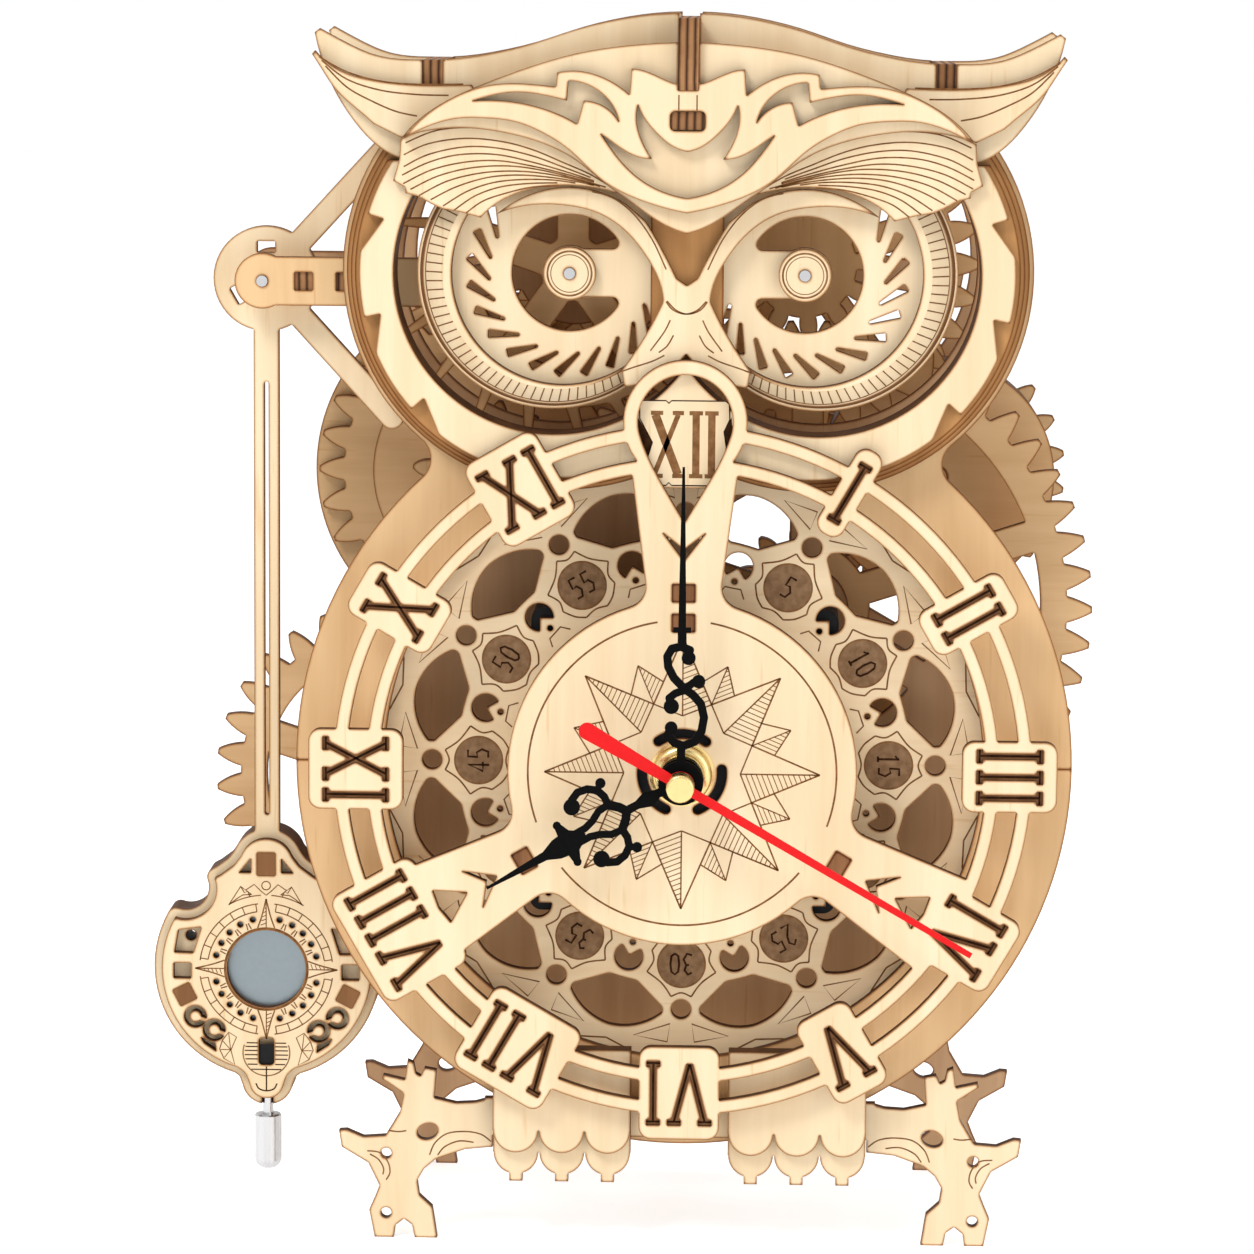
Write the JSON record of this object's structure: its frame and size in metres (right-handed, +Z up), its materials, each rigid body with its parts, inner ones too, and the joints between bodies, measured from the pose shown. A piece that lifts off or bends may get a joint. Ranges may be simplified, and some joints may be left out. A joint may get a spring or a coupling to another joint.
{
  "type": "wooden gear clock",
  "caption": "Owl-shaped clock of laser-cut plywood with an open numeral dial, slim hands, a gear train behind round eyes and a side pendulum.",
  "frame": {"origin": "centre of the whole outline, at the soles of the feet", "axes": "+Z up, the dial faces -Y, +X to the right as seen from the front"},
  "size_m": [0.1732, 0.0984, 0.2244],
  "materials": {
    "plywood_cream": "bare laser-cut plywood, burnt edges",
    "plywood_tan": "bare laser-cut plywood, darker face",
    "steel": "turned bright steel",
    "brass": "satin brass",
    "black_metal": "black paint",
    "red_metal": "red paint",
    "black_plastic": "moulded black plastic",
    "battery_jacket": "plain printed jacket"
  },
  "bodies": {
    "frame": {"back_frame": "plywood_cream", "battery": "battery_jacket", "body_front_lower": "plywood_tan", "body_front_upper": "plywood_tan", "brows": "plywood_cream", "crown_back": "plywood_tan", "crown_front": "plywood_cream", "crown_ribs": "plywood_cream", "dial_plate": "plywood_cream", "dial_spacers": "plywood_cream", "ears": "plywood_cream", "eye_bezel_left": "plywood_cream", "eye_bezel_right": "plywood_cream", "eye_bushes": "plywood_cream", "eye_plate": "plywood_cream", "feet_back": "plywood_tan", "feet_front": "plywood_cream", "forehead_ornament": "plywood_cream", "forehead_plate": "plywood_cream", "frame_pillars": "plywood_cream", "head_ring": "plywood_cream", "mid_frame": "plywood_cream", "minute_ring": "plywood_tan", "movement_case": "black_plastic", "movement_stem": "brass", "nose_plate": "plywood_cream", "pendulum_bracket": "plywood_cream", "stem_nut": "brass", "step_ring_back": "plywood_cream", "step_ring_front": "plywood_cream", "step_ring_middle": "plywood_cream", "talons_back": "plywood_cream", "talons_front": "plywood_cream", "twelve_plaque": "plywood_cream"},
    "second": {"second_hand": "red_metal", "hand_cap": "brass"},
    "minute": {"minute_hand": "black_metal"},
    "hour": {"hour_hand": "black_metal"},
    "knob": {"setting_knob": "black_plastic"},
    "great": {"great_wheel": "plywood_cream", "great_arbor": "plywood_cream"},
    "right_eye": {"right_eye_wheel": "plywood_cream", "right_eye_arbor": "plywood_cream"},
    "left_eye": {"escape_wheel": "plywood_cream", "left_eye_arbor": "plywood_cream"},
    "side_upper": {"side_upper_wheel": "plywood_cream", "side_upper_arbor": "plywood_cream"},
    "side_lower": {"side_lower_wheel": "plywood_cream", "side_lower_arbor": "steel"},
    "barrel": {"spring_case": "plywood_cream", "mainspring": "steel", "barrel_wheel": "plywood_cream"},
    "key": {"winding_key": "plywood_cream"},
    "pendulum": {"pendulum_rod": "plywood_cream", "pendulum_arbor": "steel", "bob_front": "plywood_cream", "bob_core": "plywood_cream", "bob_disc": "steel", "rating_rod": "steel"},
    "weight": {"rating_weight": "steel"}
  },
  "joints": [
    {"name": "second_spin", "type": "hinge", "parent": "frame", "child": "second", "pos_m": [0.0113, -0.03175, 0.0886], "axis": [0, 1, 0], "continuous": true},
    {"name": "minute_spin", "type": "hinge", "parent": "frame", "child": "minute", "pos_m": [0.0113, -0.03175, 0.0886], "axis": [0, 1, 0], "continuous": true},
    {"name": "hour_spin", "type": "hinge", "parent": "frame", "child": "hour", "pos_m": [0.0113, -0.03175, 0.0886], "axis": [0, 1, 0], "continuous": true},
    {"name": "knob_spin", "type": "hinge", "parent": "frame", "child": "knob", "pos_m": [-0.0017, -0.00175, 0.0816], "axis": [0, 1, 0], "continuous": true},
    {"name": "great_spin", "type": "hinge", "parent": "frame", "child": "great", "pos_m": [0.0333, 0.00425, 0.11456], "axis": [0, 1, 0], "continuous": true},
    {"name": "right_eye_spin", "type": "hinge", "parent": "frame", "child": "right_eye", "pos_m": [0.03231, 0.01125, 0.1781], "axis": [0, 1, 0], "continuous": true},
    {"name": "left_eye_spin", "type": "hinge", "parent": "frame", "child": "left_eye", "pos_m": [-0.00971, -0.01175, 0.1781], "axis": [0, 1, 0], "continuous": true},
    {"name": "side_upper_spin", "type": "hinge", "parent": "frame", "child": "side_upper", "pos_m": [-0.0257, 0.01625, 0.13817], "axis": [0, 1, 0], "continuous": true},
    {"name": "side_lower_spin", "type": "hinge", "parent": "frame", "child": "side_lower", "pos_m": [-0.0453, 0.01625, 0.07988], "axis": [0, 1, 0], "continuous": true},
    {"name": "barrel_spin", "type": "hinge", "parent": "frame", "child": "barrel", "pos_m": [0.0577, 0.02625, 0.13798], "axis": [0, 1, 0], "continuous": true},
    {"name": "key_spin", "type": "hinge", "parent": "frame", "child": "key", "pos_m": [0.0577, 0.03625, 0.13798], "axis": [0, 1, 0], "continuous": true},
    {"name": "pendulum_swing", "type": "hinge", "parent": "frame", "child": "pendulum", "pos_m": [-0.0656, -0.01175, 0.1757], "axis": [0, 1, 0], "range_deg": [-4, 4]},
    {"name": "weight_slide", "type": "slide", "parent": "pendulum", "child": "weight", "axis": [0, 0, 1], "range_m": [-0.0012, 0.0012]}
  ],
  "couplings": [
    {"joint": "minute_spin", "follows": "second_spin", "ratio": 0.016667},
    {"joint": "hour_spin", "follows": "second_spin", "ratio": 0.0013889},
    {"joint": "knob_spin", "follows": "second_spin", "ratio": 0.016667},
    {"joint": "right_eye_spin", "follows": "great_spin", "ratio": -4.1667},
    {"joint": "left_eye_spin", "follows": "great_spin", "ratio": 11.364},
    {"joint": "side_upper_spin", "follows": "great_spin", "ratio": -4.1667},
    {"joint": "side_lower_spin", "follows": "great_spin", "ratio": 4.1667},
    {"joint": "barrel_spin", "follows": "great_spin", "ratio": -0.5}
  ]
}
